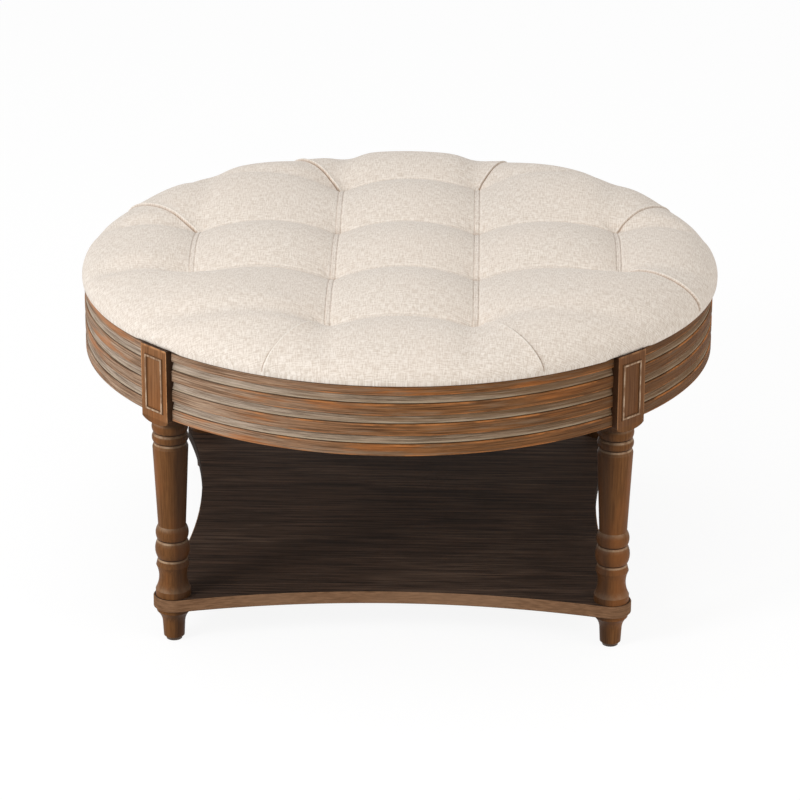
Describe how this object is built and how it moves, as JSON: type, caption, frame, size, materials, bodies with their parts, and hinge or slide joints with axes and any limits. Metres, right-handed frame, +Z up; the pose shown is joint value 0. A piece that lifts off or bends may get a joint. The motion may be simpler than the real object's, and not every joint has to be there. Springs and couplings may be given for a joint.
{
  "type": "ottoman coffee table",
  "caption": "Round upholstered ottoman coffee table with a tufted linen top, reeded wooden apron, turned legs and a concave-sided lower shelf.",
  "frame": {"origin": "on the floor under the centre of the round top", "axes": "+Z up; X and Y point between the legs, at the middles of two neighbouring shelf sides, and the legs stand on the diagonals"},
  "size_m": [0.9118, 0.9118, 0.504],
  "materials": {
    "linen": "cream slubbed linen, plain weave",
    "reed_wood": "weathered brown fir with worn arrises and a light grey wash",
    "band_wood": "grey washed wood, open grain",
    "leg_wood": "satin brown stain with pale wash left in the grooves",
    "moulding_wood": "brown stain with pale wash on the bead",
    "shelf_wood": "very dark brown stain with streaky grain",
    "plywood": "raw birch plywood",
    "brace_wood": "raw planed beech",
    "foam": "open cell upholstery foam",
    "twine": "waxed flax tufting twine",
    "dust_cloth": "black non-woven cloth",
    "steel": "zinc plated",
    "glide": "dark brown nylon"
  },
  "bodies": {
    "root": {"apron_core_right": "band_wood", "apron_core_rear": "band_wood", "apron_core_left": "band_wood", "apron_core_front": "band_wood", "reed_1_right": "reed_wood", "reed_2_right": "reed_wood", "reed_3_right": "reed_wood", "reed_4_right": "reed_wood", "reed_1_rear": "reed_wood", "reed_2_rear": "reed_wood", "reed_3_rear": "reed_wood", "reed_4_rear": "reed_wood", "reed_1_left": "reed_wood", "reed_2_left": "reed_wood", "reed_3_left": "reed_wood", "reed_4_left": "reed_wood", "reed_1_front": "reed_wood", "reed_2_front": "reed_wood", "reed_3_front": "reed_wood", "reed_4_front": "reed_wood", "leg_rear_right": "leg_wood", "leg_rear_left": "leg_wood", "leg_front_left": "leg_wood", "leg_front_right": "leg_wood", "block_moulding_rear_right": "moulding_wood", "block_moulding_rear_left": "moulding_wood", "block_moulding_front_left": "moulding_wood", "block_moulding_front_right": "moulding_wood", "foot_rear_right": "leg_wood", "foot_rear_left": "leg_wood", "foot_front_left": "leg_wood", "foot_front_right": "leg_wood", "corner_brace_rear_right": "brace_wood", "corner_brace_rear_left": "brace_wood", "corner_brace_front_left": "brace_wood", "corner_brace_front_right": "brace_wood", "floor_glides": "glide", "foot_studs": "steel", "leg_bolts": "steel", "leg_washers": "steel", "leg_nuts": "steel", "seat_screws": "steel", "brace_screws": "steel", "shelf": "shelf_wood", "seat_board": "plywood", "foam_pad": "foam", "tuft_ties": "twine", "dust_cloth": "dust_cloth", "quilted_cover": "linen"}
  },
  "joints": []
}
